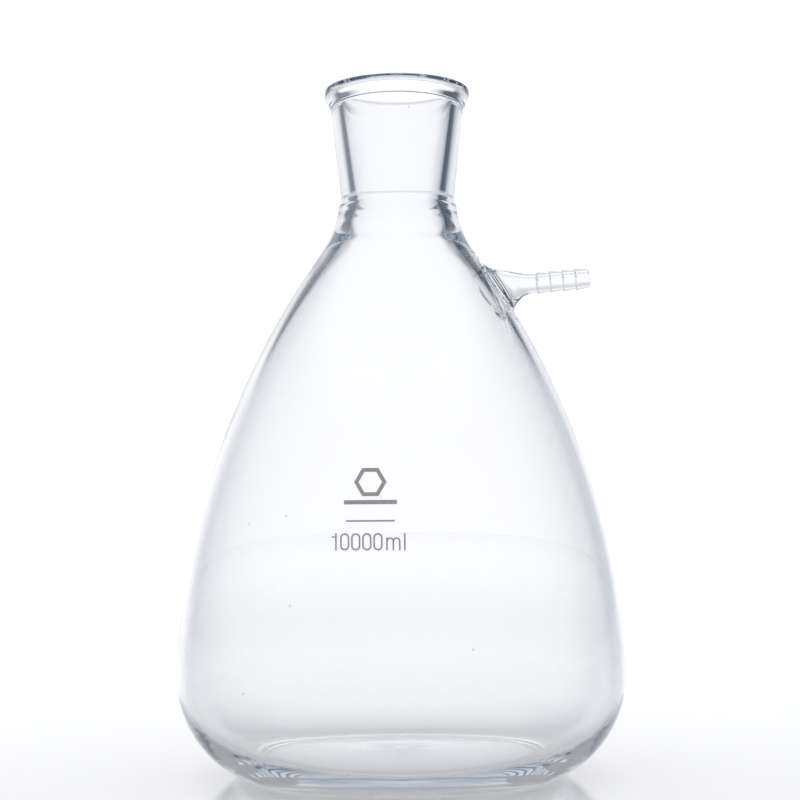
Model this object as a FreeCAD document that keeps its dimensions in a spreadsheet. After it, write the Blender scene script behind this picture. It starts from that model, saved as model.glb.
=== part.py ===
"""Büchner (filter) flask, 10 litre, heavy-wall borosilicate glass.

The flask is three pieces of glass fused together, and a fired-on print:
  flask_body     blown pear-shaped body with a foot ring, a pushed-up base and a hole for the side arm
  neck           thick tapered socket tube with a rolled collar, fused to the top of the body
  side_arm       flared foot and serrated hose nozzle, fused over the hole in the shoulder
  *_mark         enamel marks fired onto the front of the body

Millimetres. The flask's axis is +Z, its foot stands on z = 0, the side arm points along +X
and the marks face -Y.
"""
import FreeCAD, Part
import math
import os
import Sketcher
from FreeCAD import Placement, Rotation, Vector

DIMENSIONS = {
    # outside of the body, from the foot up
    "punt_height": 3.5,
    "foot_width": 4.0,
    "heel_foot_curve": 30.0,
    "heel_side_curve": 62.5,
    "belly_radius": 130.4,
    "belly_height": 57.8,
    "shoulder_curve": 454.5,
    "shoulder_setback": 323.4,
    "shoulder_centre_height": 39.1,
    "throat_curve": 52.0,
    "throat_radius": 34.7,
    "throat_height": 337.0,
    "bead_round": 3.0,
    "bead_drop": 5.0,
    "weld_fillet": 9.0,
    "weld_height": 338.3,
    # inside of the body, from the weld down
    "ridge_radius": 24.4,
    "ridge_round": 2.5,
    "inner_throat_radius": 26.9,
    "inner_throat_curve": 38.0,
    "inner_throat_height": 332.0,
    "inner_shoulder_curve": 427.6,
    "inner_shoulder_setback": 300.1,
    "inner_shoulder_centre_height": 42.3,
    "belly_wall": 3.4,
    "inner_belly_height": 56.5,
    "inner_heel_curve": 50.0,
    "base_thickness": 6.0,
    # neck
    "rim_height": 402.8,
    "rim_outer_round": 2.8,
    "collar_radius": 42.7,
    "collar_flank_curve": 12.0,
    "collar_fillet": 2.0,
    "lip_round": 5.6,
    "lip_centre_radius": 39.3,
    "ledge_fillet": 0.6,
    "ledge_height": 394.6,
    "ledge_edge_round": 0.7,
    "neck_foot_radius": 33.45,
    "neck_taper": 6.35,
    "socket_foot_radius": 24.9,
    "socket_taper": 7.5,
    # side arm: hole in the body, flared foot and hose nozzle
    "port_height": 285.0,
    "port_radius": 9.0,
    "arm_tilt": 5.0,
    "arm_length": 53.8,
    "nozzle_root": 12.0,
    "nozzle_radius": 5.6,
    "nozzle_bore": 3.3,
    "nozzle_tip_round": 0.9,
    "barb_radius": 6.35,
    "barb_start": 22.6,
    "barb_rise": 1.0,
    "barb_ramp": 6.2,
    "barb_pitch": 7.55,
    "barb_count": 4,
    # enamel marks
    "mark_thickness": 0.2,
    "mark_offset": 15.5,
    "mark_stroke": 0.9,
    "capacity_base": 133.4,
    "digit_tall": 9.0,
    "digit_wide": 4.9,
    "digit_pitch": 5.8,
    "type_mark_height": 148.3,
    "name_mark_height": 157.4,
    "emblem_height": 169.1,
    "emblem_radius": 8.6,
}

# Cross-sections of the side arm's flared foot, from inside the body's wall outwards: how far
# along the arm's axis and above it each circle's centre is, how far the circle leans towards the
# body's slope in degrees, and the flare's outer and inner radius there.
FLARE_COLUMNS = ("along", "above", "lean", "outer_radius", "inner_radius")
FLARE_SECTIONS = {
    "root": (-2.0, -2.3, 27.7, 19.6, 9.0),
    "foot": (0.7, -0.8, 27.7, 16.4, 9.0),
    "skirt": (4.4, -0.5, 26.0, 12.2, 7.6),
    "waist": (9.7, 0.0, 18.3, 9.1, 5.1),
    "collar": (15.2, 0.0, 4.0, 6.6, 3.7),
    "tube": (21.0, 0.0, 0.0, 5.3, 2.6),
}
for section, values in FLARE_SECTIONS.items():
    for column, value in zip(FLARE_COLUMNS, values):
        DIMENSIONS[f"{section}_{column}"] = value

doc = FreeCAD.newDocument("buchner_flask")
sheet = doc.addObject("Spreadsheet::Sheet", "Dimensions")
for row, (alias, value) in enumerate(DIMENSIONS.items(), start=1):
    sheet.set(f"A{row}", alias)
    sheet.set(f"B{row}", str(value))
    sheet.setAlias(f"B{row}", alias)
doc.recompute()

X_AXIS = -1
Z_AXIS = -2
ROOT = (-1, 1)
CENTRE = 3


def size(alias):
    """The value of one cell of the sheet."""
    return float(getattr(sheet, alias))


def cells(expression):
    """The same expression with every cell's name written in full."""
    words = []
    for word in expression.split():
        words.append("Dimensions." + word if word in DIMENSIONS else word)
    return " ".join(words)


# How far the middle of the side arm's port is from the flask's axis, and how far the shoulder
# leans back there.
PORT_ACROSS = cells("sqrt( shoulder_curve ^ 2 - ( port_height - shoulder_centre_height ) ^ 2 )"
                    " - shoulder_setback")
PORT_LEAN = cells("asin( ( port_height - shoulder_centre_height ) / shoulder_curve )")


def place(feature, placement, axis, expressions):
    """Bind the parts of a feature's placement to the sheet; the axis is the one it turns about."""
    small_turn = 1.0
    setattr(feature, placement, Placement(Vector(), Rotation(axis, small_turn)))
    for part, expression in expressions.items():
        feature.setExpression(f"{placement}.{part}", expression)


class Outline:
    """A chain of lines and arcs in a sketch, each one starting where the last one ended."""

    def __init__(self, sketch, start):
        self.sketch = sketch
        self.here = Vector(*start, 0)
        self.segments = {}
        self.last = None

    def line(self, name, end, smooth=True):
        """Draw a straight stretch to a rough end point."""
        end = Vector(*end, 0)
        index = self.sketch.addGeometry(Part.LineSegment(self.here, end), False)
        self._join(name, index, 1, 2, smooth)
        self.here = end

    def arc(self, name, centre, end, smooth=True):
        """Draw an arc about a rough centre to a rough end point, the short way round."""
        centre, end = Vector(*centre, 0), Vector(*end, 0)
        first, second = self.here - centre, end - centre
        first_angle = math.atan2(first.y, first.x)
        second_angle = math.atan2(second.y, second.x)
        circle = Part.Circle(centre, Vector(0, 0, 1), first.Length)
        if first.cross(second).z > 0:
            curve, ends = Part.ArcOfCircle(circle, first_angle, second_angle), (1, 2)
        else:
            curve, ends = Part.ArcOfCircle(circle, second_angle, first_angle), (2, 1)
        index = self.sketch.addGeometry(curve, False)
        self._join(name, index, *ends, smooth)
        self.here = end

    def _join(self, name, index, first, second, smooth):
        self.segments[name] = (index, first, second)
        if self.last is not None:
            kind = "Tangent" if smooth else "Coincident"
            self.sketch.addConstraint(Sketcher.Constraint(kind, *self.last, index, first))
        self.last = (index, second)

    def close(self):
        """Join the last stretch to the first."""
        index, first, _ = next(iter(self.segments.values()))
        self.sketch.addConstraint(Sketcher.Constraint("Coincident", *self.last, index, first))

    def start(self, name):
        return self.segments[name][0], self.segments[name][1]

    def end(self, name):
        return self.segments[name][0], self.segments[name][2]

    def centre(self, name):
        return self.segments[name][0], CENTRE

    def curve(self, name):
        return self.segments[name][0]

    def fix(self, kind, *references):
        """Add a constraint that has no size."""
        self.sketch.addConstraint(Sketcher.Constraint(kind, *references))

    def drive(self, kind, references, expression, value):
        """Add a size, and bind it to the sheet."""
        name = f"size_{self.sketch.ConstraintCount}"
        index = self.sketch.addConstraint(Sketcher.Constraint(kind, *references, value))
        self.sketch.renameConstraint(index, name)
        self.sketch.setExpression(f"Constraints.{name}", cells(expression))

    def radius(self, name, alias_expression):
        """Drive an arc's radius."""
        arc = self.sketch.Geometry[self.curve(name)]
        self.drive("Radius", (self.curve(name),), alias_expression, arc.Radius)

    def across(self, point, expression):
        """Drive a point's distance from the axis."""
        self.drive("DistanceX", (*ROOT, *point), expression, self.sketch.getPoint(*point).x)

    def up(self, point, expression):
        """Drive a point's height above the foot."""
        self.drive("DistanceY", (*ROOT, *point), expression, self.sketch.getPoint(*point).y)


def new_sketch(body, name, plane="XZ_Plane"):
    """An empty sketch on one of the body's own planes."""
    sketch = body.newObject("Sketcher::SketchObject", name)
    planes = [feature for feature in body.Origin.OriginFeatures if feature.Role == plane]
    sketch.AttachmentSupport = (planes[0], "")
    sketch.MapMode = "FlatFace"
    return sketch


def new_body(name):
    body = doc.addObject("PartDesign::Body", name)
    body.Label = name
    return body


def revolve(body, kind, name, sketch, axis):
    """Turn a sketch about one of its own axes, adding or removing material."""
    feature = body.newObject(kind, name)
    feature.Profile = sketch
    feature.ReferenceAxis = (sketch, [axis])
    feature.Angle = 360.0
    return feature


def draw_outside(outline):
    """The body's outer surface, from the edge of the foot ring to the weld."""
    outline.arc("foot_round", (84.7, 30.0), (100.2, 4.3))
    outline.arc("heel", (67.9, 57.8), (130.4, 57.8))
    outline.arc("belly", (-74.0, 57.8), (129.8, 73.1))
    outline.arc("shoulder", (-323.4, 39.1), (53.9, 292.5))
    outline.line("cone", (43.6, 307.9))
    outline.arc("throat", (86.7, 337.0), (34.92, 332.27))
    outline.arc("bead", (31.93, 332.0), (34.77, 332.98))
    outline.line("weld_slope", (33.94, 335.37))
    outline.arc("weld_fillet", (42.45, 338.3), (33.45, 338.3))


def size_outside(outline):
    """Bind the body's outer surface to the sheet."""
    outline.radius("foot_round", "heel_foot_curve")
    outline.radius("heel", "heel_side_curve")
    outline.across(outline.centre("heel"), "belly_radius - heel_side_curve")
    outline.up(outline.centre("heel"), "belly_height")
    outline.fix("Horizontal", *outline.centre("heel"), *outline.centre("belly"))
    outline.radius("shoulder", "shoulder_curve")
    outline.across(outline.centre("shoulder"), "- shoulder_setback")
    outline.up(outline.centre("shoulder"), "shoulder_centre_height")
    outline.radius("throat", "throat_curve")
    outline.across(outline.centre("throat"), "throat_radius + throat_curve")
    outline.up(outline.centre("throat"), "throat_height")
    outline.radius("bead", "bead_round")
    outline.up(outline.centre("bead"), "throat_height - bead_drop")
    outline.radius("weld_fillet", "weld_fillet")
    outline.up(outline.centre("weld_fillet"), "weld_height")
    outline.fix("Horizontal", *outline.centre("weld_fillet"), *outline.end("weld_fillet"))
    outline.across(outline.end("weld_fillet"), "neck_foot_radius")


def make_body():
    """The blown body: one revolved wall, and the hole that the side arm opens into."""
    body = new_body("flask_body")
    sketch = new_sketch(body, "wall_section")
    wall = Outline(sketch, (0.0, 3.5))
    wall.arc("punt", (0.0, -928.0), (80.7, 0.0))
    wall.line("foot", (84.7, 0.0), smooth=False)
    draw_outside(wall)
    wall.line("joint", (26.9, 338.3), smooth=False)
    wall.arc("ridge", (26.9, 335.8), (24.5, 335.1))
    wall.line("ridge_slope", (28.4, 321.6))
    wall.arc("inner_throat", (64.9, 332.0), (34.2, 309.6))
    wall.line("inner_cone", (45.4, 294.2))
    wall.arc("inner_shoulder", (-300.1, 42.3), (126.4, 72.3))
    wall.arc("inner_belly", (-98.7, 56.5), (127.0, 56.5))
    wall.arc("inner_heel", (77.0, 56.5), (72.0, 6.7))
    wall.arc("floor", (0.0, -744.0), (0.0, 9.5))
    wall.line("axis", (0.0, 3.5), smooth=False)
    wall.close()

    wall.fix("PointOnObject", *wall.start("punt"), Z_AXIS)
    wall.fix("PointOnObject", *wall.centre("punt"), Z_AXIS)
    wall.up(wall.start("punt"), "punt_height")
    wall.fix("PointOnObject", *wall.start("foot"), X_AXIS)
    wall.fix("PointOnObject", *wall.end("foot"), X_AXIS)
    wall.drive("DistanceX", (*wall.start("foot"), *wall.end("foot")), "foot_width", 4.0)
    size_outside(wall)
    wall.fix("Horizontal", wall.curve("joint"))
    wall.radius("ridge", "ridge_round")
    wall.across(wall.centre("ridge"), "ridge_radius + ridge_round")
    wall.radius("inner_throat", "inner_throat_curve")
    wall.across(wall.centre("inner_throat"), "inner_throat_radius + inner_throat_curve")
    wall.up(wall.centre("inner_throat"), "inner_throat_height")
    wall.radius("inner_shoulder", "inner_shoulder_curve")
    wall.across(wall.centre("inner_shoulder"), "- inner_shoulder_setback")
    wall.up(wall.centre("inner_shoulder"), "inner_shoulder_centre_height")
    wall.fix("Horizontal", *wall.centre("inner_belly"), *wall.end("inner_belly"))
    wall.across(wall.end("inner_belly"), "belly_radius - belly_wall")
    wall.up(wall.end("inner_belly"), "inner_belly_height")
    wall.radius("inner_heel", "inner_heel_curve")
    wall.fix("PointOnObject", *wall.centre("floor"), Z_AXIS)
    wall.fix("PointOnObject", *wall.end("floor"), Z_AXIS)
    wall.up(wall.end("floor"), "punt_height + base_thickness")
    revolve(body, "PartDesign::Revolution", "wall", sketch, "V_Axis")

    hole = new_sketch(body, "port_section")
    place(hole, "AttachmentOffset", Vector(0, 0, 1),
          {"Base.x": PORT_ACROSS, "Base.y": cells("port_height"), "Rotation.Angle": PORT_LEAN})
    drill = box_outline(hole, -12.0, 12.0, 0.0, 9.0)
    drill.fix("Symmetric", *drill.start("floor"), *drill.end("floor"), *ROOT)
    drill.across(drill.end("floor"), "port_radius * 4 / 3")
    drill.up(drill.end("right"), "port_radius")
    revolve(body, "PartDesign::Groove", "port", hole, "H_Axis")
    return body


def make_envelope():
    """The body's outer shape as one block, which the side arm's foot is trimmed to."""
    body = new_body("envelope")
    sketch = new_sketch(body, "envelope_section")
    block = Outline(sketch, (0.0, 0.0))
    block.line("base", (84.7, 0.0))
    draw_outside(block)
    block.line("joint", (0.0, 338.3), smooth=False)
    block.line("axis", (0.0, 0.0), smooth=False)
    block.close()
    block.fix("Coincident", *block.start("base"), *ROOT)
    block.fix("Horizontal", block.curve("base"))
    block.fix("PointOnObject", *block.end("joint"), Z_AXIS)
    block.fix("Horizontal", block.curve("joint"))
    size_outside(block)
    revolve(body, "PartDesign::Revolution", "block", sketch, "V_Axis")
    return body


def make_neck():
    """The thick neck: tapered outside, tapered socket inside, and a rolled collar at the rim."""
    body = new_body("neck")
    sketch = new_sketch(body, "neck_section")
    tube = Outline(sketch, (24.9, 338.3))
    tube.line("joint", (33.45, 338.3))
    tube.line("outside", (39.2, 389.8), smooth=False)
    tube.arc("collar_fillet", (41.2, 390.0), (40.0, 391.6))
    tube.arc("collar_flank", (30.7, 400.0), (42.7, 400.0))
    tube.arc("rim_outer", (39.9, 400.0), (39.9, 402.8))
    tube.line("rim_top", (39.3, 402.8))
    tube.arc("lip", (39.3, 397.2), (33.7, 397.2))
    tube.line("lip_side", (33.7, 395.2))
    tube.arc("ledge_fillet", (33.1, 395.2), (33.1, 394.6))
    tube.line("ledge", (32.9, 394.6))
    tube.arc("ledge_edge", (32.9, 393.9), (32.2, 394.0))
    tube.line("socket", (24.9, 338.3))
    tube.close()

    tube.fix("Horizontal", tube.curve("joint"))
    tube.up(tube.start("joint"), "weld_height")
    tube.across(tube.start("joint"), "socket_foot_radius")
    tube.across(tube.end("joint"), "neck_foot_radius")
    tube.drive("Angle", (tube.curve("outside"), 1, Z_AXIS, 1), "neck_taper * 1 deg",
               math.radians(size("neck_taper")))
    tube.radius("collar_fillet", "collar_fillet")
    tube.radius("collar_flank", "collar_flank_curve")
    tube.across(tube.end("collar_flank"), "collar_radius")
    tube.fix("Horizontal", *tube.centre("collar_flank"), *tube.end("collar_flank"))
    tube.radius("rim_outer", "rim_outer_round")
    tube.up(tube.end("rim_outer"), "rim_height")
    tube.fix("Vertical", *tube.centre("rim_outer"), *tube.end("rim_outer"))
    tube.radius("lip", "lip_round")
    tube.across(tube.centre("lip"), "lip_centre_radius")
    tube.fix("Vertical", tube.curve("lip_side"))
    tube.radius("ledge_fillet", "ledge_fillet")
    tube.fix("Horizontal", tube.curve("ledge"))
    tube.up(tube.start("ledge"), "ledge_height")
    tube.radius("ledge_edge", "ledge_edge_round")
    tube.drive("Angle", (tube.curve("socket"), 2, Z_AXIS, 1), "socket_taper * 1 deg",
               math.radians(size("socket_taper")))
    revolve(body, "PartDesign::Revolution", "tube", sketch, "V_Axis")
    return body


def box_outline(sketch, left, right, bottom, top):
    """A closed rectangle with level and upright sides."""
    box = Outline(sketch, (left, bottom))
    box.line("floor", (right, bottom))
    box.line("right", (right, top), smooth=False)
    box.line("roof", (left, top), smooth=False)
    box.line("left", (left, bottom), smooth=False)
    box.close()
    for name in ("floor", "roof"):
        box.fix("Horizontal", box.curve(name))
    for name in ("left", "right"):
        box.fix("Vertical", box.curve(name))
    return box


def flare_loft(body, kind, name, radius):
    """Loft the foot's outside or inside through its circles."""
    sketches = []
    for section in FLARE_SECTIONS:
        circle = new_sketch(body, f"{name}_{section}", "YZ_Plane")
        place(circle, "AttachmentOffset", Vector(-1, 0, 0),
              {"Base.y": cells(f"{section}_above"), "Base.z": cells(f"{section}_along"),
               "Rotation.Angle": cells(f"{section}_lean * 1 deg")})
        start_radius = size(f"{section}_{radius}")
        circle.addGeometry(Part.Circle(Vector(), Vector(0, 0, 1), start_radius), False)
        circle.addConstraint(Sketcher.Constraint("Coincident", 0, CENTRE, *ROOT))
        index = circle.addConstraint(Sketcher.Constraint("Radius", 0, start_radius))
        circle.renameConstraint(index, radius)
        circle.setExpression(f"Constraints.{radius}", cells(f"{section}_{radius}"))
        sketches.append(circle)
    loft = body.newObject(kind, name)
    loft.Profile = sketches[0]
    loft.Sections = sketches[1:]
    loft.Ruled = False
    return loft


def make_side_arm(envelope):
    """The side arm, built along its own X axis from the body's surface, then set in place."""
    body = new_body("side_arm_blank")

    core = new_sketch(body, "nozzle_section")
    rod = Outline(core, (12.0, 0.0))
    rod.line("axis", (53.8, 0.0))
    rod.line("tip", (53.8, 4.7), smooth=False)
    rod.arc("tip_edge", (52.9, 4.7), (52.9, 5.6))
    rod.line("side", (12.0, 5.6))
    rod.line("root", (12.0, 0.0), smooth=False)
    rod.close()
    rod.fix("PointOnObject", *rod.start("axis"), X_AXIS)
    for name in ("axis", "side"):
        rod.fix("Horizontal", rod.curve(name))
    for name in ("tip", "root"):
        rod.fix("Vertical", rod.curve(name))
    rod.across(rod.start("axis"), "nozzle_root")
    rod.across(rod.end("axis"), "arm_length")
    rod.radius("tip_edge", "nozzle_tip_round")
    rod.up(rod.end("tip_edge"), "nozzle_radius")
    revolve(body, "PartDesign::Revolution", "nozzle", core, "H_Axis")

    ridge = new_sketch(body, "barb_section")
    barb = Outline(ridge, (22.6, 3.3))
    barb.line("rise", (22.6, 5.6), smooth=False)
    barb.line("face", (23.6, 6.35), smooth=False)
    barb.line("ramp", (29.8, 5.6), smooth=False)
    barb.line("drop", (29.8, 3.3), smooth=False)
    barb.line("floor", (22.6, 3.3), smooth=False)
    barb.close()
    for name in ("rise", "drop"):
        barb.fix("Vertical", barb.curve(name))
    barb.fix("Horizontal", barb.curve("floor"))
    barb.across(barb.start("rise"), "barb_start")
    barb.up(barb.start("rise"), "nozzle_bore")
    barb.up(barb.end("rise"), "nozzle_radius")
    barb.across(barb.end("face"), "barb_start + barb_rise")
    barb.up(barb.end("face"), "barb_radius")
    barb.across(barb.end("ramp"), "barb_start + barb_rise + barb_ramp")
    barb.up(barb.end("ramp"), "nozzle_radius")
    turned = revolve(body, "PartDesign::Revolution", "barb", ridge, "H_Axis")
    doc.recompute()
    row = body.newObject("PartDesign::LinearPattern", "barbs")
    row.Originals = [turned]
    row.Direction = (ridge, ["H_Axis"])
    row.Mode = "Spacing"
    body.Tip = row
    row.setExpression("Offset", "Dimensions.barb_pitch")
    row.setExpression("Occurrences", "Dimensions.barb_count")

    flare_loft(body, "PartDesign::AdditiveLoft", "flare", "outer_radius")
    flare_loft(body, "PartDesign::SubtractiveLoft", "flare_hollow", "inner_radius")

    channel = new_sketch(body, "bore_section")
    bore = box_outline(channel, 12.0, 60.0, 0.0, 3.3)
    bore.fix("PointOnObject", *bore.start("floor"), X_AXIS)
    bore.across(bore.start("floor"), "nozzle_root")
    bore.across(bore.end("floor"), "arm_length + barb_pitch")
    bore.up(bore.end("right"), "nozzle_bore")
    revolve(body, "PartDesign::Groove", "bore", channel, "H_Axis")

    place(body, "Placement", Vector(0, -1, 0),
          {"Base.x": PORT_ACROSS, "Base.z": cells("port_height"),
           "Rotation.Angle": cells("arm_tilt * 1 deg")})

    arm = doc.addObject("Part::Cut", "side_arm")
    arm.Base = body
    arm.Tool = envelope
    return arm


def make_skin():
    """A skin over the middle of the shoulder, as thick as the enamel, for the marks to be cut from."""
    body = new_body("enamel_skin")
    sketch = new_sketch(body, "skin_section")
    strip = Outline(sketch, (125.8, 120.0))
    strip.line("lower", (126.0, 120.0))
    strip.arc("outside", (-323.4, 39.1), (107.7, 185.0), smooth=False)
    strip.line("upper", (107.5, 185.0), smooth=False)
    strip.arc("inside", (-323.4, 39.1), (125.8, 120.0), smooth=False)
    strip.close()
    strip.fix("Coincident", *strip.centre("outside"), *strip.centre("inside"))
    strip.fix("Horizontal", strip.curve("lower"))
    strip.fix("Horizontal", strip.curve("upper"))
    strip.across(strip.centre("outside"), "- shoulder_setback")
    strip.up(strip.centre("outside"), "shoulder_centre_height")
    strip.radius("inside", "shoulder_curve")
    strip.radius("outside", "shoulder_curve + mark_thickness")
    strip.up(strip.start("lower"), "capacity_base - digit_tall")
    strip.up(strip.start("upper"), "emblem_height + 2 * emblem_radius")
    revolve(body, "PartDesign::Revolution", "skin", sketch, "V_Axis")
    return body


class Stencil:
    """Flat shapes cut right through, standing in front of the body, in the marks' own frame."""

    def __init__(self, middle, base):
        self.left = -size("mark_offset") + middle
        self.base = base
        self.front = -size("belly_radius")
        self.depth = size("belly_radius") / 3
        self.shapes = []

    def block(self, left, bottom, width, height):
        corner = Vector(self.left + left, self.front, self.base + bottom)
        return Part.makeBox(width, self.depth, height, corner)

    def disc(self, across, up, radius):
        centre = Vector(self.left + across, self.front, self.base + up)
        return Part.makeCylinder(radius, self.depth, centre, Vector(0, 1, 0))

    def add(self, shape):
        self.shapes.append(shape)

    def slot(self, left, bottom, width, height):
        """An upright round-ended slot."""
        radius = width / 2
        shape = self.block(left, bottom + radius, width, height - width)
        for level in (bottom + radius, bottom + height - radius):
            shape = shape.fuse(self.disc(left + radius, level, radius))
        return shape

    def nought(self, left, width, height, stroke):
        hole = self.slot(left + stroke, stroke, width - 2 * stroke, height - 2 * stroke)
        self.add(self.slot(left, 0, width, height).cut(hole))

    def one(self, left, height, stroke):
        """An upright with a short flag at its top left."""
        flag = self.block(left - 2 * stroke, height - 2.6 * stroke, 2 * stroke, stroke * 0.8)
        self.add(self.block(left, 0, stroke, height).fuse(flag))

    def letter_m(self, left, width, height, stroke):
        """Three uprights under two arches."""
        arch = (width + stroke) / 2
        radius = arch / 2
        shape = self.block(left, 0, stroke, height)
        for start in (left, left + arch - stroke):
            ring = self.disc(start + radius, height - radius, radius)
            ring = ring.cut(self.disc(start + radius, height - radius, radius - stroke))
            ring = ring.common(self.block(start, height - radius, arch, radius))
            shape = shape.fuse(ring)
            shape = shape.fuse(self.block(start + arch - stroke, 0, stroke, height - radius))
        self.add(shape)

    def hexagon(self, radius):
        corners = [Vector(self.left + radius * math.cos(math.radians(60 * corner)), self.front,
                          self.base + radius * math.sin(math.radians(60 * corner)))
                   for corner in range(7)]
        return Part.Face(Part.makePolygon(corners)).extrude(Vector(0, self.depth, 0))


def make_mark(name, stencil, skin):
    """Fire a stencil's shapes onto the body: each one is what it shares with the enamel skin."""
    mark = doc.addObject("Part::Feature", name)
    mark.Shape = Part.makeCompound([solid for shape in stencil.shapes
                                    for solid in shape.common(skin.Shape).Solids])
    return mark


def make_marks(skin):
    """The fired-on marks: a plain emblem, two plain bars, and the capacity in millilitres."""
    tall, wide = size("digit_tall"), size("digit_wide")
    pitch, stroke = size("digit_pitch"), size("mark_stroke")

    capacity = Stencil(-3.2 * pitch, size("capacity_base"))
    capacity.one(0.0, tall, stroke)
    for place in range(4):
        capacity.nought(0.45 * pitch + place * pitch, wide, tall, stroke)
    letters = 4.6 * pitch
    capacity.letter_m(letters, 1.3 * pitch, 0.75 * tall, stroke)
    capacity.add(capacity.block(letters + 1.6 * pitch, 0, stroke, tall))

    glass_type = Stencil(0.0, size("type_mark_height"))
    glass_type.add(glass_type.block(-2.2 * pitch, 0, 4.4 * pitch, stroke))

    name = Stencil(0.0, size("name_mark_height"))
    name.add(name.block(-2.4 * pitch, 0, 4.8 * pitch, 2.5 * stroke))

    emblem = Stencil(0.0, size("emblem_height"))
    emblem.add(emblem.hexagon(size("emblem_radius")).cut(emblem.hexagon(0.72 * size("emblem_radius"))))

    return [make_mark("capacity_mark", capacity, skin), make_mark("lower_bar_mark", glass_type, skin),
            make_mark("upper_bar_mark", name, skin), make_mark("emblem_mark", emblem, skin)]


def check_and_export(parts):
    """Stop if anything in the document failed, then write one STEP file for each piece."""
    for item in doc.Objects:
        if "Invalid" in item.State or "Error" in item.State:
            raise RuntimeError(f"{item.Name} did not rebuild: {item.State}")
    os.makedirs("parts", exist_ok=True)
    for name, part in parts.items():
        if part.Shape.isNull() or not part.Shape.isValid():
            raise RuntimeError(f"{name} has no valid shape")
        part.Shape.exportStep(f"parts/{name}.step")
        print(f"{name}: {len(part.Shape.Solids)} solid(s), {part.Shape.Volume / 1000:.1f} cm3")


body = make_body()
neck = make_neck()
arm = make_side_arm(make_envelope())
skin = make_skin()
doc.recompute()
marks = make_marks(skin)
doc.recompute()
check_and_export({part.Label: part for part in [body, neck, arm, *marks]})
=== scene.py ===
"""Looks of the 10 litre filter flask: one fused glass wall and the enamel marks fired onto it.

The real flask is three pieces of glass melted into one, with no face between them, so the wall
is a single closed mesh that stands for the three CAD pieces. The glass is worked out in
millimetres and turned into metres when its mesh is made; the stage and the camera are in metres.
Angles are radians unless a name or a comment says degrees.
"""

import math

import bpy
import numpy as np
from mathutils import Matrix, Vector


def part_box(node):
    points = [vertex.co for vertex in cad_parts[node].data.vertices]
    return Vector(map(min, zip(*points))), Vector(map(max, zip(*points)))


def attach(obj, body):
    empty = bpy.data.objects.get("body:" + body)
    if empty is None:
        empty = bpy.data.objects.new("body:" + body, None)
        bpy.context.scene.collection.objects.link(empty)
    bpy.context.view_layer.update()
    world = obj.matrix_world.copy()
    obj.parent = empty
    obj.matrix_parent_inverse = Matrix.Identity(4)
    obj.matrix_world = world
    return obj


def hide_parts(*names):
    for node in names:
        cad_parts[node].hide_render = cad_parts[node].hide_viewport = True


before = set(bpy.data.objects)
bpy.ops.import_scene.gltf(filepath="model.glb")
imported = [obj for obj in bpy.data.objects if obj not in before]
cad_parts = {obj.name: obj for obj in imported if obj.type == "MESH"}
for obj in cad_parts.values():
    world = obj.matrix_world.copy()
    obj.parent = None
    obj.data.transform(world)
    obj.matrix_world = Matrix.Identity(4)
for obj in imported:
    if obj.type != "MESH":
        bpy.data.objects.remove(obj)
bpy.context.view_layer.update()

MM = 0.001


def millimetres(node):
    """A CAD node's box in millimetres."""
    low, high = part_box(node)
    return np.array(low) / MM, np.array(high) / MM


body_high = millimetres("flask_body")[1]
neck_high = millimetres("neck")[1]

# ---------------------------------------------------------------- sizes of the glass, from the frame
BELLY_RADIUS = body_high[1]
WELD_HEIGHT = body_high[2]
COLLAR_RADIUS = neck_high[1]
RIM_HEIGHT = neck_high[2]

# outside of the wall
PUNT_HEIGHT = 3.5
FOOT_INNER_RADIUS = 80.7
FOOT_INNER_ROUND = 1.2
FOOT_CURVE = 30.0
HEEL_CURVE = 62.5
BELLY_HEIGHT = 57.8
SHOULDER_CURVE = 454.5
SHOULDER_SETBACK = 323.4
SHOULDER_CENTRE_HEIGHT = 39.1
THROAT_CURVE = 52.0
THROAT_RADIUS = 34.7
THROAT_HEIGHT = 337.0
BEAD_ROUND = 3.0
BEAD_DROP = 5.0
WELD_FILLET = 9.0
NECK_FOOT_RADIUS = 33.45
COLLAR_FILLET = 2.0
COLLAR_FILLET_RADIUS = 41.2
COLLAR_FILLET_HEIGHT = 390.0
COLLAR_FLANK_CURVE = 12.0
RIM_OUTER_ROUND = 2.8
LIP_ROUND = 5.6
LIP_ROUND_CENTRE = 39.3
LEDGE_FILLET = 0.6
LEDGE_FILLET_RADIUS = 33.1
LEDGE_HEIGHT = 394.6
LIP_EDGE_RADIUS = 32.2
LIP_EDGE_ROUND = 0.7

# inside of the wall
RIDGE_ROUND = 2.5
RIDGE_RADIUS = 24.4
INNER_THROAT_RADIUS = 26.9
INNER_THROAT_HEIGHT = 332.0
INNER_THROAT_CURVE = 38.0
INNER_SHOULDER_CURVE = 427.6
INNER_SHOULDER_SETBACK = 300.1
INNER_SHOULDER_CENTRE_HEIGHT = 42.3
BELLY_WALL = 3.4
INNER_BELLY_HEIGHT = 56.5
INNER_HEEL_CURVE = 50.0
FLOOR_THICKNESS = 6.0
FLOOR_CURVE = 753.5

# side arm
PORT_HEIGHT = 285.0
ARM_TILT = math.radians(5)
ARM_LENGTH = 53.8
BARB_COUNT = 4
BARB_PITCH = 7.55
BARB_START = 22.6
BARB_RISE = 1.0
BARB_RADIUS = 6.35
BARB_CREST_ROUND = 0.6
BARB_VALLEY_ROUND = 0.5
NOZZLE_RADIUS = 5.55
NOZZLE_BORE = 3.3
TIP_ROUND = 0.9
BORE_EDGE_ROUND = 0.5
TUBE_START = 21.0

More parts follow.
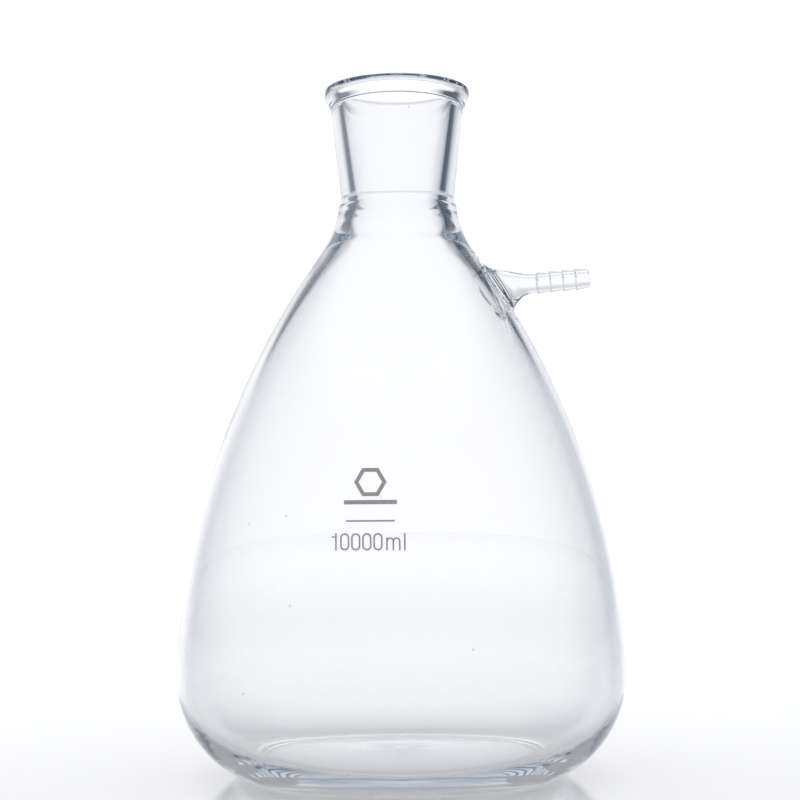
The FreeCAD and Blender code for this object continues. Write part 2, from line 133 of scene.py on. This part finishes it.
# Flared foot of the side arm: how far along the arm's axis and above it each ring's centre is,
# how far it leans towards the body's slope in degrees, and its radius.
FLARE_OUTSIDE = (
    (0.7, -0.8, 27.7, 16.4),
    (2.2, -0.7, 27.2, 14.1),
    (4.6, -0.5, 26.0, 12.1),
    (9.7, 0.0, 18.3, 9.1),
    (15.2, 0.0, 4.0, 6.6),
    (18.4, 0.0, 0.0, 5.75),
)
FLARE_HOLLOW = (
    (18.0, 0.0, 0.0, 3.4),
    (15.2, 0.0, 4.0, 3.7),
    (9.7, 0.0, 18.3, 5.1),
    (5.0, -0.4, 25.5, 7.2),
    (1.4, -0.8, 27.7, 8.8),
    (-1.2, -1.8, 27.7, 10.2),
)

# ---------------------------------------------------------------- how finely the wall is divided
AROUND = 384
LONGEST_STEP = 1.6
SHARPEST_TURN = math.radians(3)
# The patch round the port is a square of cells: how long a cell is up the wall, and how many
# cells there are from the middle of the patch to its edge.
PORT_CELL = 1.0
PORT_REACH = 24
OUTER_PORT_RING = 19.5
INNER_PORT_RING = 13.5
SURFACE_STEPS = 7
FLARE_STEPS = 5

# ---------------------------------------------------------------- how closely places are found
SHORTEST_PIECE = 1e-4
SHORTEST_WAY = 1e-6
SMALLEST_TURN = 1e-6
HALVINGS = 50
SURFACE_TRIES = 8
RIM_SAMPLES = 2000
# Shares of the way from the base up to the rim between which the outline passes the port.
PORT_SEARCH = (0.3, 0.8)
# The last stretch of the outline, over the floor and the inner heel, which lies below the port.
FLOOR_STRETCH = 130
# In cells: how near to a patch another station may be, and how exactly a station is matched.
NEAREST_STATION = 0.4
STATION_SLACK = 0.25


# ================================================================ outline of the wall
def joined(start, end):
    """Heading of the straight line that touches two directed circles, each (across, up, radius).

    A radius is positive when the circle's centre is left of the way the outline travels.
    """
    across, up = end[0] - start[0], end[1] - start[1]
    reach = math.hypot(across, up)
    lean = math.acos(max(-1.0, min(1.0, (end[2] - start[2]) / reach)))
    return math.atan2(up, across) - math.pi / 2 + lean


def on_circle(circle, heading):
    """The point of a directed circle at which the outline travels on this heading."""
    across, up, radius = circle
    return across + radius * math.sin(heading), up - radius * math.cos(heading)


class Outline:
    """A smooth line that rounds one directed circle after another, by way of straight lines."""

    def __init__(self, circles):
        self.pieces = []
        headings = [joined(start, end) for start, end in zip(circles, circles[1:])]
        for place, (circle, heading) in enumerate(zip(circles, headings)):
            if place and circle[2]:
                self._add_arc(circle, headings[place - 1], heading)
            self._add_line(circle, circles[place + 1], heading)
        self.length = sum(piece["length"] for piece in self.pieces)

    def _add_arc(self, circle, heading_in, heading_out):
        """The stretch round a circle, left out where the two headings are the same."""
        side = math.copysign(1.0, circle[2])
        turn = (side * (heading_out - heading_in)) % math.tau
        if turn < math.tau - SMALLEST_TURN:
            self._add({"circle": circle, "heading": heading_in, "turn": side * turn,
                       "length": abs(circle[2]) * turn})

    def _add_line(self, start, end, heading):
        """The straight stretch from one circle to the next."""
        first, last = on_circle(start, heading), on_circle(end, heading)
        self._add({"first": first, "heading": heading, "turn": 0.0, "length": math.dist(first, last)})

    def _add(self, piece):
        """Put a stretch after the others, unless it has no length."""
        if piece["length"] > SHORTEST_PIECE:
            piece["from"] = sum(other["length"] for other in self.pieces)
            self.pieces.append(piece)

    def at(self, distance):
        """(across, up, heading) at a distance along the outline."""
        piece = next((p for p in self.pieces if distance <= p["from"] + p["length"]), self.pieces[-1])
        gone = distance - piece["from"]
        if "circle" in piece:
            heading = piece["heading"] + gone / piece["circle"][2]
            return *on_circle(piece["circle"], heading), heading
        across, up = piece["first"]
        heading = piece["heading"]
        return across + gone * math.cos(heading), up + gone * math.sin(heading), heading

    def stations(self):
        """Distances close enough together to show every curve as round."""
        stops = [0.0]
        for piece in self.pieces:
            count = max(1, math.ceil(piece["length"] / LONGEST_STEP),
                        math.ceil(abs(piece["turn"]) / SHARPEST_TURN))
            stops += [piece["from"] + piece["length"] * (step + 1) / count for step in range(count)]
        return stops


def between(low, high, wanted, measure):
    """The distance between low and high at which a rising measure reaches the wanted value."""
    for _ in range(HALVINGS):
        middle = (low + high) / 2
        if measure(middle) < wanted:
            low = middle
        else:
            high = middle
    return (low + high) / 2


def circle_between(radius, height, big):
    """The circle centred at this height that runs through (radius, height) and on into a bigger one."""
    size_of_big = abs(big[2])
    rise = height - big[1]
    gap = size_of_big - radius
    centre = (big[0] ** 2 + rise ** 2 - gap ** 2) / (2 * (gap + big[0]))
    return centre, height, math.copysign(radius - centre, big[2])


def wall_circles():
    """The wall's section: from under the base, up the outside, over the rim and down to the floor."""
    heel = (BELLY_RADIUS - HEEL_CURVE, BELLY_HEIGHT, HEEL_CURVE)
    foot_out = math.sqrt((HEEL_CURVE - FOOT_CURVE) ** 2 - (BELLY_HEIGHT - FOOT_CURVE) ** 2)
    foot = (heel[0] + foot_out, FOOT_CURVE, FOOT_CURVE)
    shoulder = (-SHOULDER_SETBACK, SHOULDER_CENTRE_HEIGHT, SHOULDER_CURVE)
    belly = circle_between(BELLY_RADIUS, BELLY_HEIGHT, shoulder)
    throat = (THROAT_RADIUS + THROAT_CURVE, THROAT_HEIGHT, -THROAT_CURVE)
    bead_in = math.sqrt((THROAT_CURVE + BEAD_ROUND) ** 2 - BEAD_DROP ** 2)
    bead = (throat[0] - bead_in, THROAT_HEIGHT - BEAD_DROP, BEAD_ROUND)
    weld = (NECK_FOOT_RADIUS + WELD_FILLET, WELD_HEIGHT, -WELD_FILLET)
    base_middle = (0.0, PUNT_HEIGHT, 0.0)
    outside = [
        base_middle,
        (FOOT_INNER_RADIUS, FOOT_INNER_ROUND, FOOT_INNER_ROUND),
        foot, heel, belly, shoulder, throat, bead, weld,
    ]

    flank_height = RIM_HEIGHT - RIM_OUTER_ROUND
    flank_centre = COLLAR_RADIUS - COLLAR_FLANK_CURVE
    rim_centre = COLLAR_RADIUS - RIM_OUTER_ROUND
    rim = [
        (COLLAR_FILLET_RADIUS, COLLAR_FILLET_HEIGHT, -COLLAR_FILLET),
        (flank_centre, flank_height, COLLAR_FLANK_CURVE),
        (rim_centre, flank_height, RIM_OUTER_ROUND),
        (LIP_ROUND_CENTRE, RIM_HEIGHT - LIP_ROUND, LIP_ROUND),
        (LEDGE_FILLET_RADIUS, LEDGE_HEIGHT + LEDGE_FILLET, -LEDGE_FILLET),
        (LIP_EDGE_RADIUS + LIP_EDGE_ROUND, LEDGE_HEIGHT - LIP_EDGE_ROUND, LIP_EDGE_ROUND),
    ]

    inner_shoulder = (-INNER_SHOULDER_SETBACK, INNER_SHOULDER_CENTRE_HEIGHT, -INNER_SHOULDER_CURVE)
    inner_belly = circle_between(BELLY_RADIUS - BELLY_WALL, INNER_BELLY_HEIGHT, inner_shoulder)
    floor_height = PUNT_HEIGHT + FLOOR_THICKNESS
    inside = [
        (RIDGE_RADIUS + RIDGE_ROUND, WELD_HEIGHT - RIDGE_ROUND, RIDGE_ROUND),
        (INNER_THROAT_RADIUS + INNER_THROAT_CURVE, INNER_THROAT_HEIGHT, INNER_THROAT_CURVE),
        inner_shoulder, inner_belly,
        (BELLY_RADIUS - BELLY_WALL - INNER_HEEL_CURVE, INNER_BELLY_HEIGHT, -INNER_HEEL_CURVE),
        (0.0, floor_height - FLOOR_CURVE, FLOOR_CURVE),
        (0.0, floor_height, 0.0),
    ]
    return outside + rim + inside


# ================================================================ mesh of the wall
class Mesh:
    """Vertices and faces as they are collected."""

    def __init__(self):
        self.points = []
        self.faces = []

    def add(self, points):
        """Add a row of points and give their numbers."""
        first = len(self.points)
        self.points += [tuple(point) for point in points]
        return list(range(first, len(self.points)))

    def band(self, lower, upper):
        """Join two closed rows of the same length with four-sided faces."""
        count = len(lower)
        for here in range(count):
            after = (here + 1) % count
            self.faces.append((lower[here], lower[after], upper[after], upper[here]))


class PortPatch:
    """The stretch of one surface of the wall around the side arm's port."""

    def __init__(self, outline, middle, side):
        self.outline = outline
        self.middle = middle
        self.side = side
        across, up, heading = outline.at(middle)
        self.centre = np.array([across, 0.0, up])
        self.up_slope = side * np.array([math.cos(heading), 0.0, math.sin(heading)])

    def stations(self):
        """Distances along the outline at which the patch's rows of cells begin and end."""
        return [self.middle + step * PORT_CELL for step in range(-PORT_REACH, PORT_REACH + 1)]

    def flat(self, points):
        """Where points lie in the plane that touches the wall at the port."""
        offset = np.asarray(points) - self.centre
        return np.stack([offset[:, 1], offset @ self.up_slope], axis=1)

    def surface(self, flat_points):
        """The points of the wall straight under flat points."""
        found = []
        for sideways, upward in flat_points:
            distance = self.middle + self.side * upward
            for _ in range(SURFACE_TRIES):
                across, up, _ = self.outline.at(distance)
                reach = math.sqrt(across ** 2 - sideways ** 2)
                offset = np.array([reach, sideways, up]) - self.centre
                distance += self.side * (upward - offset @ self.up_slope)
            found.append((reach, sideways, up))
        return found

    def rings(self, edge_points, ring_radius):
        """Directions of the edge's points, and rows of wall points from the edge in to a round ring."""
        edge = self.flat(edge_points)
        turn = np.arctan2(edge[:, 1], edge[:, 0])
        ring = ring_radius * np.stack([np.cos(turn), np.sin(turn)], axis=1)
        rows = []
        for step in range(1, SURFACE_STEPS + 1):
            share = step / SURFACE_STEPS
            rows.append(self.surface(edge + share * (ring - edge)))
        return turn, rows


def spin(mesh, outline, stops, patches):
    """Turn the outline round the axis, leaving out the faces that the patches stand for."""
    angles = np.arange(AROUND) * math.tau / AROUND
    rows = []
    for stop in stops[1:-1]:
        across, up, _ = outline.at(stop)
        rows.append(mesh.add((across * math.cos(a), across * math.sin(a), up) for a in angles))
    skipped = set(range(PORT_REACH)) | set(range(AROUND - PORT_REACH, AROUND))
    for place, (lower, upper) in enumerate(zip(rows, rows[1:]), start=1):
        middle = (stops[place] + stops[place + 1]) / 2
        in_patch = any(abs(middle - patch.middle) < PORT_CELL * PORT_REACH for patch in patches)
        for here in range(AROUND):
            if in_patch and here in skipped:
                continue
            after = (here + 1) % AROUND
            mesh.faces.append((lower[here], lower[after], upper[after], upper[here]))
    for row, stop in ((rows[0], stops[0]), (rows[-1], stops[-1])):
        pole = mesh.add([(0.0, 0.0, outline.at(stop)[1])])[0]
        for here in range(AROUND):
            after = (here + 1) % AROUND
            face = (pole, row[after], row[here]) if stop == stops[0] else (row[here], row[after], pole)
            mesh.faces.append(face)
    return rows


def patch_edge(rows, stops, patch):
    """Vertex numbers round the square edge of a patch, anticlockwise as seen from the arm's tip."""
    near = [place for place, stop in enumerate(stops)
            if abs(stop - patch.middle) < PORT_CELL * (PORT_REACH + STATION_SLACK)]
    levels = [rows[place - 1] for place in near]
    if patch.side < 0:
        levels.reverse()
    columns = range(-PORT_REACH, PORT_REACH + 1)
    bottom = [levels[0][column] for column in columns]
    right = [level[PORT_REACH] for level in levels]
    top = [levels[-1][column] for column in reversed(columns)]
    left = [level[-PORT_REACH] for level in reversed(levels)]
    return bottom[:-1] + right[:-1] + top[:-1] + left[:-1]


class ArmFrame:
    """Places rings along the side arm's own axis."""

    def __init__(self, port):
        self.port = port
        self.along = np.array([math.cos(ARM_TILT), 0.0, math.sin(ARM_TILT)])
        self.above = np.array([-math.sin(ARM_TILT), 0.0, math.cos(ARM_TILT)])

    def ring(self, section, turn):
        """The points of one leaning circle, in these directions round it."""
        along, above, lean_deg, radius = section
        lean = math.radians(lean_deg)
        centre = self.port + along * self.along + above * self.above
        upward = math.cos(lean) * self.above - math.sin(lean) * self.along
        sideways = np.array([0.0, 1.0, 0.0])
        return centre + radius * (np.outer(np.cos(turn), sideways) + np.outer(np.sin(turn), upward))


def way(start, end):
    """How far each point of one ring is from its fellow on the next."""
    return np.maximum(np.linalg.norm(end - start, axis=1), SHORTEST_WAY)[:, None]


def slope(before, here, after):
    """How each point travels through the middle one of three rings, per millimetre of its way."""
    way_in, way_out = way(before, here), way(here, after)
    weighted = (here - before) / way_in * way_out + (after - here) / way_out * way_in
    return weighted / (way_in + way_out)


def eased(rings, steps):
    """Rings through the given ones on smooth curves, without the first and last."""
    rings = [np.asarray(ring, float) for ring in rings]
    rows = []
    for before, start, end, after in zip(rings, rings[1:], rings[2:], rings[3:]):
        span = way(start, end)
        slope_in = slope(before, start, end) * span
        slope_out = slope(start, end, after) * span
        for step in range(1, steps + 1):
            t = step / steps
            rows.append((2 * t ** 3 - 3 * t ** 2 + 1) * start + (t ** 3 - 2 * t ** 2 + t) * slope_in
                        + (3 * t ** 2 - 2 * t ** 3) * end + (t ** 3 - t ** 2) * slope_out)
    return rows


def nozzle_circles():
    """The hose nozzle's section: along the barbs, round the tip and back through the bore."""
    circles = [(TUBE_START, NOZZLE_RADIUS, 0.0)]
    for barb in range(BARB_COUNT):
        start = BARB_START + barb * BARB_PITCH
        circles.append((start, NOZZLE_RADIUS + BARB_VALLEY_ROUND, BARB_VALLEY_ROUND))
        circles.append((start + BARB_RISE, BARB_RADIUS - BARB_CREST_ROUND, -BARB_CREST_ROUND))
    circles += [
        (ARM_LENGTH - TIP_ROUND, NOZZLE_RADIUS - TIP_ROUND, -TIP_ROUND),
        (ARM_LENGTH - BORE_EDGE_ROUND, NOZZLE_BORE + BORE_EDGE_ROUND, -BORE_EDGE_ROUND),
        (TUBE_START, NOZZLE_BORE, 0.0),
    ]
    return circles


def fine_stops(nozzle):
    """Stations of the small nozzle outline, twice as close as along the wall."""
    stops = nozzle.stations()
    halves = [(a + b) / 2 for a, b in zip(stops, stops[1:])]
    return sorted(stops + halves)


def make_wall():
    """The whole glass wall as one closed mesh."""
    outline = Outline(wall_circles())

    def height(distance):
        return outline.at(distance)[1]

    rim_at = max(np.linspace(0, outline.length, RIM_SAMPLES), key=height)
    port_out = between(rim_at * PORT_SEARCH[0], rim_at * PORT_SEARCH[1], PORT_HEIGHT, height)
    outer = PortPatch(outline, port_out, 1)
    port = outer.centre

    def depth_below_port(distance):
        across, up, _ = outline.at(distance)
        return -(np.array([across, 0.0, up]) - port) @ outer.up_slope

    port_in = between(rim_at, outline.length - FLOOR_STRETCH, 0.0, depth_below_port)
    inner = PortPatch(outline, port_in, -1)

    stops = outline.stations()
    for patch in (outer, inner):
        own = patch.stations()
        clear = PORT_CELL * NEAREST_STATION
        stops = [stop for stop in stops if not own[0] - clear < stop < own[-1] + clear] + own
    stops.sort()

    mesh = Mesh()
    rows = spin(mesh, outline, stops, (outer, inner))
    outer_edge = patch_edge(rows, stops, outer)
    inner_edge = patch_edge(rows, stops, inner)

    outer_turn, outer_rows = outer.rings([mesh.points[n] for n in outer_edge], OUTER_PORT_RING)
    inner_turn, inner_rows = inner.rings([mesh.points[n] for n in inner_edge], INNER_PORT_RING)
    inner_rows.reverse()
    inner_turn = outer_turn + (inner_turn - outer_turn + math.pi) % math.tau - math.pi

    arm = ArmFrame(port)
    nozzle = Outline(nozzle_circles())
    nozzle_sections = [(along, 0.0, 0.0, radius)
                       for along, radius, _ in (nozzle.at(stop) for stop in fine_stops(nozzle))]
    shares = np.linspace(0, 1, len(nozzle_sections))
    turns = [outer_turn + share * (inner_turn - outer_turn) for share in shares]
    nozzle_rows = [arm.ring(section, turn) for section, turn in zip(nozzle_sections, turns)]

    flare = [arm.ring(section, outer_turn) for section in FLARE_OUTSIDE]
    flare_rows = eased([outer_rows[-2], outer_rows[-1], *flare, nozzle_rows[0], nozzle_rows[1]],
                       FLARE_STEPS)
    hollow = [arm.ring(section, inner_turn) for section in FLARE_HOLLOW]
    hollow_rows = eased([nozzle_rows[-2], nozzle_rows[-1], *hollow, inner_rows[0], inner_rows[1]],
                        FLARE_STEPS)

    chain = [outer_edge]
    for row in [*outer_rows, *flare_rows, *nozzle_rows[1:], *hollow_rows, *inner_rows[1:-1]]:
        chain.append(mesh.add(row))
    chain.append(inner_edge)
    for lower, upper in zip(chain, chain[1:]):
        mesh.band(lower, upper)
    return mesh


def mesh_object(name, mesh):
    """A smooth-shaded Blender object from collected points in millimetres, without unused points."""
    used = sorted({number for face in mesh.faces for number in face})
    renumbered = {number: place for place, number in enumerate(used)}
    points = (np.array([mesh.points[number] for number in used]) * MM).tolist()
    faces = [tuple(renumbered[number] for number in face) for face in mesh.faces]
    data = bpy.data.meshes.new(name)
    data.from_pydata(points, [], faces)
    data.update()
    data.shade_smooth()
    made = bpy.data.objects.new(name, data)
    bpy.context.scene.collection.objects.link(made)
    return made


# ================================================================ materials
GLASS_INDEX = 1.473
GLASS_DEPTH_TINT = (0.80, 0.835, 0.87, 1.0)
GLASS_DEPTH_DENSITY = 11.0
# A speck shows where a noise is above its rarity, within its size of the middle of a cell.
SPECK_RARITY = 0.66
SPECK_SIZE = 0.05
SPECK_TINT = (0.55, 0.57, 0.58)
GLASS_TINT = (0.988, 0.989, 1.0)
ENAMEL_DARK = (0.42, 0.395, 0.375)
ENAMEL_PALE = (0.52, 0.485, 0.455)


class Nodes:
    """Short calls for a material's or world's node tree."""

    def __init__(self, tree):
        self.tree = tree
        tree.nodes.clear()

    def add(self, kind, **inputs):
        """Add a node and set its sockets by name; a socket given another node's output is linked."""
        node = self.tree.nodes.new(kind)
        for name, value in inputs.items():
            socket = node.inputs[name.replace("_", " ")]
            if isinstance(value, bpy.types.NodeSocket):
                self.tree.links.new(value, socket)
            else:
                socket.default_value = value
        return node

    def ramp(self, factor, stops):
        """A colour ramp through (place, grey or colour) stops."""
        node = self.tree.nodes.new("ShaderNodeValToRGB")
        self.tree.links.new(factor, node.inputs["Fac"])
        points = node.color_ramp.elements
        while len(points) < len(stops):
            points.new(0.5)
        for point, (place, colour) in zip(points, stops):
            point.position = place
            colour = (colour,) * 3 if isinstance(colour, (int, float)) else colour
            point.color = (*colour, 1.0)
        return node.outputs["Color"]

    def math(self, operation, *values):
        """The result of one sum on numbers or other nodes' outputs."""
        node = self.tree.nodes.new("ShaderNodeMath")
        node.operation = operation
        for socket, value in zip(node.inputs, values):
            if isinstance(value, bpy.types.NodeSocket):
                self.tree.links.new(value, socket)
            else:
                socket.default_value = value
        return node.outputs["Value"]


def new_material(name):
    """An empty material and its node tree."""
    material = bpy.data.materials.new(name)
    material.use_nodes = True
    return material, Nodes(material.node_tree)


def glass_material():
    """Clear borosilicate: faint drawing ripple, a few specks, and a trace of grey-blue in its depth."""
    material, nodes = new_material("borosilicate_glass")
    place = nodes.add("ShaderNodeTexCoord").outputs["Object"]
    ripple = nodes.add("ShaderNodeTexNoise", Vector=place, Scale=14.0, Detail=1.0, Roughness=0.4)
    bump = nodes.add("ShaderNodeBump", Strength=0.02, Distance=0.002, Height=ripple.outputs["Fac"])
    specks = nodes.add("ShaderNodeTexVoronoi", Vector=place, Scale=60.0, Randomness=1.0)
    rare = nodes.add("ShaderNodeTexNoise", Vector=place, Scale=23.0, Detail=0.0)
    speck_here = nodes.math("GREATER_THAN", rare.outputs["Fac"], SPECK_RARITY)
    speck_size = nodes.math("MULTIPLY", speck_here, SPECK_SIZE)
    clear = nodes.math("GREATER_THAN", specks.outputs["Distance"], speck_size)
    tint = nodes.ramp(clear, [(0.0, SPECK_TINT), (1.0, GLASS_TINT)])
    glass = nodes.add("ShaderNodeBsdfPrincipled", Base_Color=tint, Normal=bump.outputs["Normal"],
                      Roughness=0.0, IOR=GLASS_INDEX, Transmission_Weight=1.0)
    depth = nodes.add("ShaderNodeVolumeAbsorption",
                      Color=GLASS_DEPTH_TINT, Density=GLASS_DEPTH_DENSITY)
    nodes.add("ShaderNodeOutputMaterial", Surface=glass.outputs["BSDF"], Volume=depth.outputs["Volume"])
    return material


def enamel_material():
    """Warm grey fired enamel, slightly mottled and matt."""
    material, nodes = new_material("fired_enamel")
    place = nodes.add("ShaderNodeTexCoord").outputs["Object"]
    mottle = nodes.add("ShaderNodeTexNoise", Vector=place, Scale=900.0, Detail=3.0, Roughness=0.6)
    colour = nodes.ramp(mottle.outputs["Fac"], [(0.3, ENAMEL_DARK), (0.7, ENAMEL_PALE)])
    grain = nodes.add("ShaderNodeBump", Strength=0.15, Distance=0.0001, Height=mottle.outputs["Fac"])
    paint = nodes.add("ShaderNodeBsdfPrincipled", Base_Color=colour, Normal=grain.outputs["Normal"],
                      Roughness=0.5)
    nodes.add("ShaderNodeOutputMaterial", Surface=paint.outputs["BSDF"])
    return material


def table_material():
    """Glossy white table top that gives off painted light, more around the flask than far away, lifting
    the shade the flask casts on it.
    """
    material, nodes = new_material("table_white")
    place = nodes.add("ShaderNodeTexCoord").outputs["Object"]
    distance = nodes.add("ShaderNodeVectorMath", Vector=place)
    distance.operation = "LENGTH"
    # Painted light: the table emits light of its own, strongest near the flask, which brightens the
    # shade the flask casts around its foot.
    painted_glow = nodes.add("ShaderNodeMapRange", Value=distance.outputs["Value"],
                     From_Min=PAINTED_GLOW_FADES[0], From_Max=PAINTED_GLOW_FADES[1],
                     To_Min=TABLE_PAINTED_GLOW_NEAR, To_Max=TABLE_PAINTED_GLOW_FAR)
    painted_glow.interpolation_type = "SMOOTHSTEP"
    cloud = nodes.add("ShaderNodeTexNoise", Vector=place, Scale=3.0, Detail=2.0)
    colour = nodes.ramp(cloud.outputs["Fac"], [(0.3, 0.88), (0.7, 0.9)])
    top = nodes.add("ShaderNodeBsdfPrincipled", Base_Color=colour, Roughness=0.08,
                    Emission_Color=(1.0, 1.0, 1.0, 1.0), Emission_Strength=painted_glow.outputs["Result"])
    nodes.add("ShaderNodeOutputMaterial", Surface=top.outputs["BSDF"])
    return material


# ================================================================ stage
# The backdrop is white in its middle and fades towards its edges, more on the right.
BACKDROP = (1.08, 1.08, 1.09)
BACKDROP_EDGE_LEFT = (0.88, 0.90, 0.93)
BACKDROP_EDGE_RIGHT = (0.64, 0.68, 0.73)
ROOM_BEHIND = (0.60, 0.61, 0.63)
ROOM_SIDE = (0.48, 0.50, 0.54)
PALE_FLAG = (0.20, 0.22, 0.26)
FLAG = (0.08, 0.10, 0.13)
CEILING = (0.80, 0.81, 0.82, 1.0)
# The table's size; how strongly it gives off painted light near the flask and far away; and, in metres
# from the flask's axis, where that painted glow begins and ends to fade.
TABLE_SIZE = 30.0
TABLE_PAINTED_GLOW_NEAR = 0.17
TABLE_PAINTED_GLOW_FAR = 0.08
PAINTED_GLOW_FADES = (0.35, 1.6)
# Bearing from the backdrop's middle, clockwise from above, in degrees, and the studio's colour there:
# near the table's level, and higher up.
LOW_WALLS = (
    (-180, ROOM_BEHIND),
    (-110, ROOM_SIDE),
    (-56, PALE_FLAG),
    (-46, PALE_FLAG),
    (-32, BACKDROP_EDGE_LEFT),
    (-18, BACKDROP),
    (12, BACKDROP),
    (30, BACKDROP_EDGE_RIGHT),
    (44, FLAG),
    (70, FLAG),
    (100, ROOM_SIDE),
    (180, ROOM_BEHIND),
)
HIGH_WALLS = (
    (-180, ROOM_BEHIND),
    (-110, ROOM_SIDE),
    (-50, PALE_FLAG),
    (-24, PALE_FLAG),
    (-8, BACKDROP),
    (8, BACKDROP),
    (20, FLAG),
    (70, FLAG),
    (100, ROOM_SIDE),
    (180, ROOM_BEHIND),
)
# Degrees above the horizon between which the low walls blend into the high ones, and those into
# the ceiling.
HIGH_WALLS_RISE = (17, 23)
CEILING_RISE = (38, 56)


def make_floor():
    """The table top, level with the foot of the flask."""
    bpy.ops.mesh.primitive_plane_add(size=TABLE_SIZE, location=(0, 0, 0))
    floor = bpy.context.object
    floor.name = "table"
    floor.data.materials.append(table_material())
    return floor


def make_world():
    """A pale studio: a white backdrop behind the flask, cool dark flags beside it, a softer ceiling."""
    world = bpy.data.worlds.new("studio")
    bpy.context.scene.world = world
    world.use_nodes = True
    nodes = Nodes(world.node_tree)
    direction = nodes.add("ShaderNodeTexCoord").outputs["Generated"]
    parts = nodes.add("ShaderNodeSeparateXYZ", Vector=direction).outputs
    bearing = nodes.math("ARCTAN2", parts["X"], parts["Y"])
    turn = nodes.math("MULTIPLY_ADD", bearing, 1 / math.tau, 0.5)
    low, high = (nodes.ramp(turn, [(0.5 + bearing_deg / 360, colour) for bearing_deg, colour in walls])
                 for walls in (LOW_WALLS, HIGH_WALLS))
    room = low
    for colour, (start_deg, end_deg) in ((high, HIGH_WALLS_RISE), (CEILING, CEILING_RISE)):
        rise = nodes.add("ShaderNodeMapRange", Value=parts["Z"],
                         From_Min=math.sin(math.radians(start_deg)),
                         From_Max=math.sin(math.radians(end_deg)))
        rise.interpolation_type = "SMOOTHSTEP"
        blend = nodes.add("ShaderNodeMixRGB", Fac=rise.outputs["Result"], Color1=room, Color2=colour)
        room = blend.outputs["Color"]
    background = nodes.add("ShaderNodeBackground", Color=room)
    nodes.add("ShaderNodeOutputWorld", Surface=background.outputs["Background"])


# Light runs a long way inside a glass wall before it leaves it, by many reflections.
LIGHT_BOUNCES = 64
TABLE_BOUNCES = 12

# The camera's place in metres, and its focal length and sensor in millimetres. A level camera
# would need the whole shift; the pitch takes about half of it over.
CAMERA_DISTANCE = 1.040
CAMERA_HEIGHT = 0.157
CAMERA_PITCH = math.radians(1.7)
CAMERA_ROLL = math.radians(0.45)
FARTHEST_SEEN = 100.0
FOCAL_LENGTH = 79.5915
SENSOR = 36.0
LEVEL_SHIFT = 0.131
SHIFT = LEVEL_SHIFT - math.tan(CAMERA_PITCH) * FOCAL_LENGTH / SENSOR


def make_camera():
    """A camera in front of the marks, tipped up a little."""
    data = bpy.data.cameras.new("camera")
    data.sensor_width = SENSOR
    data.lens = FOCAL_LENGTH
    data.shift_y = SHIFT
    data.clip_end = FARTHEST_SEEN
    camera = bpy.data.objects.new("camera", data)
    camera.location = (0.0, -CAMERA_DISTANCE, CAMERA_HEIGHT)
    camera.rotation_euler = (math.pi / 2 + CAMERA_PITCH, CAMERA_ROLL, 0.0)
    bpy.context.scene.collection.objects.link(camera)
    bpy.context.scene.camera = camera


# ================================================================ the flask
glass = mesh_object("fused_glass", make_wall())
glass.data.materials.append(glass_material())
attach(glass, "root")
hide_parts("flask_body", "neck", "side_arm")

enamel = enamel_material()
for node in ("capacity_mark", "lower_bar_mark", "upper_bar_mark", "emblem_mark"):
    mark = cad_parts[node]
    mark.data.materials.clear()
    mark.data.materials.append(enamel)

make_floor()
make_world()
make_camera()
scene = bpy.context.scene
scene.view_settings.view_transform = "Standard"
scene.cycles.max_bounces = LIGHT_BOUNCES
scene.cycles.transmission_bounces = LIGHT_BOUNCES
scene.cycles.glossy_bounces = LIGHT_BOUNCES
scene.cycles.diffuse_bounces = TABLE_BOUNCES
